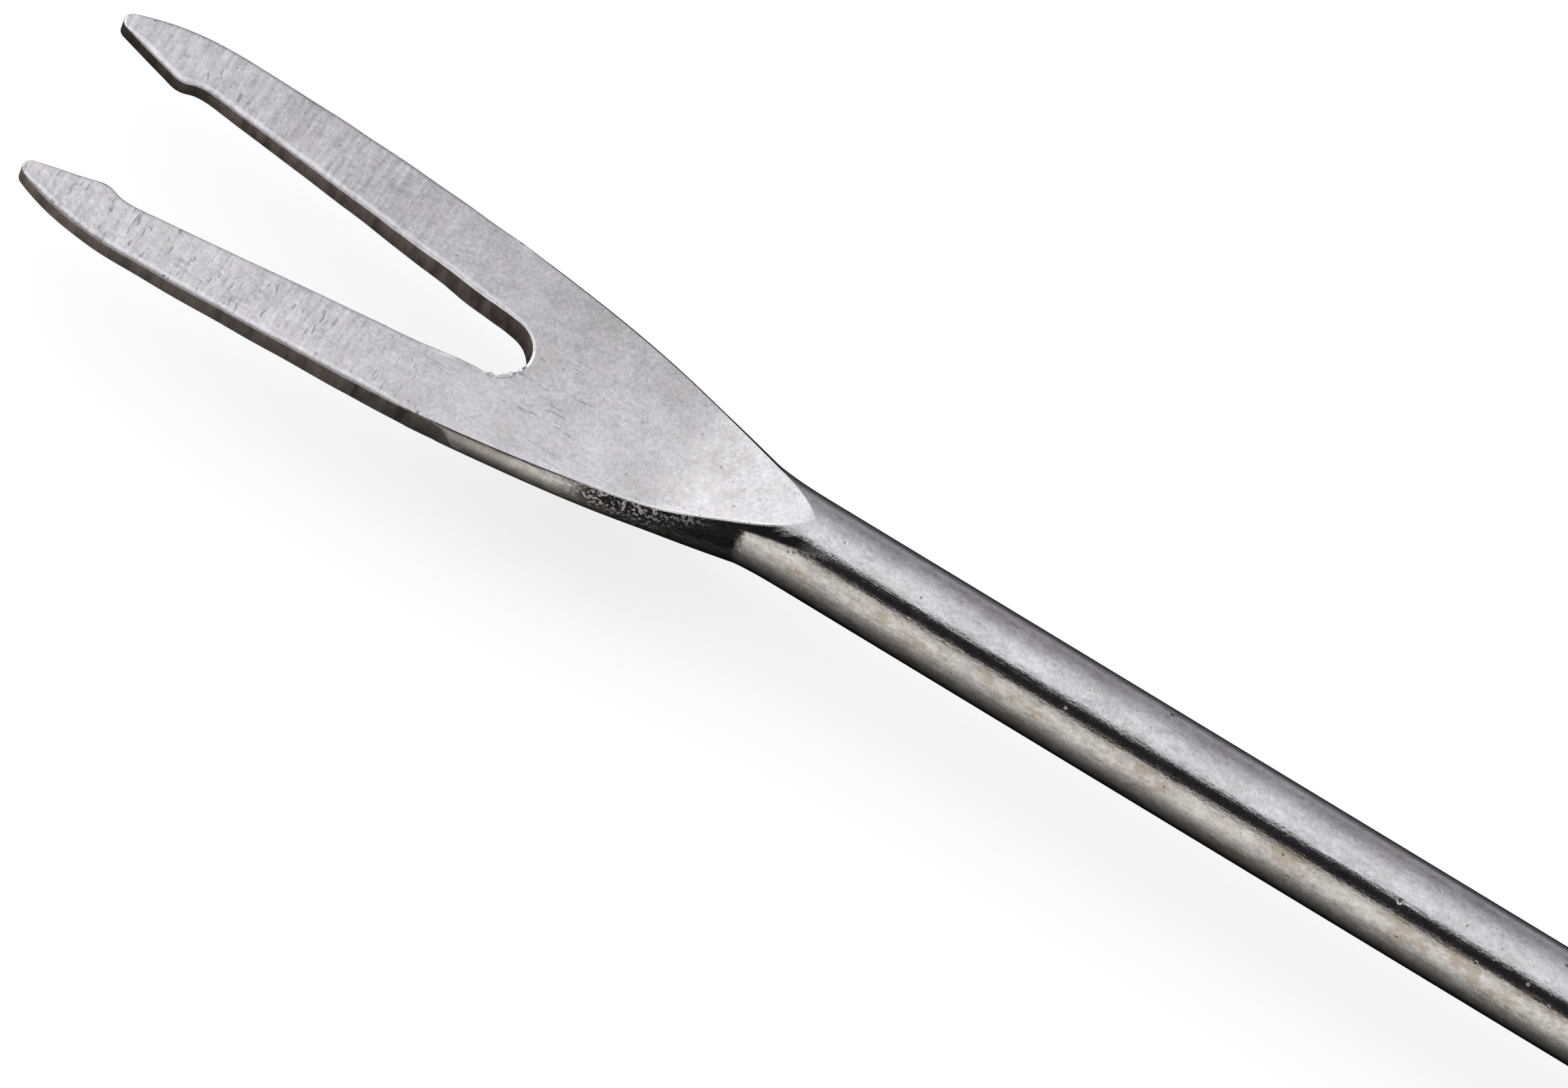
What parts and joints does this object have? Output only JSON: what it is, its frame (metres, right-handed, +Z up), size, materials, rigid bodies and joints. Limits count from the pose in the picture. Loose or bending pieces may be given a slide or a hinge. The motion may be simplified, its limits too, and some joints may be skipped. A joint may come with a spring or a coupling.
{
  "type": "fondue fork",
  "caption": "Long fork for dipping and cooking food in a fondue pot: barbed narrow tines on a round steel bar, with a riveted two-scale wooden handle and a colour pin.",
  "frame": {"origin": "on the table under the middle of the fork's length", "axes": "+X along the bar from the tines to the handle, +Y across the tines, +Z up out of the flat of the head and the handle"},
  "size_m": [0.2416, 0.014, 0.01],
  "materials": {
    "steel": "satin pressed steel with fine grinding marks, small pits and a smoother round bar",
    "handle_wood": "oiled hardwood with long grain",
    "rivet_brass": "ground flush with the wood",
    "marker_plastic": "ground flush and polished"
  },
  "bodies": {
    "root": {"fork_rod": "steel", "upper_scale": "handle_wood", "lower_scale": "handle_wood", "rivet_1_stud": "rivet_brass", "rivet_1_sleeve": "rivet_brass", "rivet_2_stud": "rivet_brass", "rivet_2_sleeve": "rivet_brass", "rivet_3_stud": "rivet_brass", "rivet_3_sleeve": "rivet_brass", "colour_pin": "marker_plastic"}
  },
  "joints": []
}
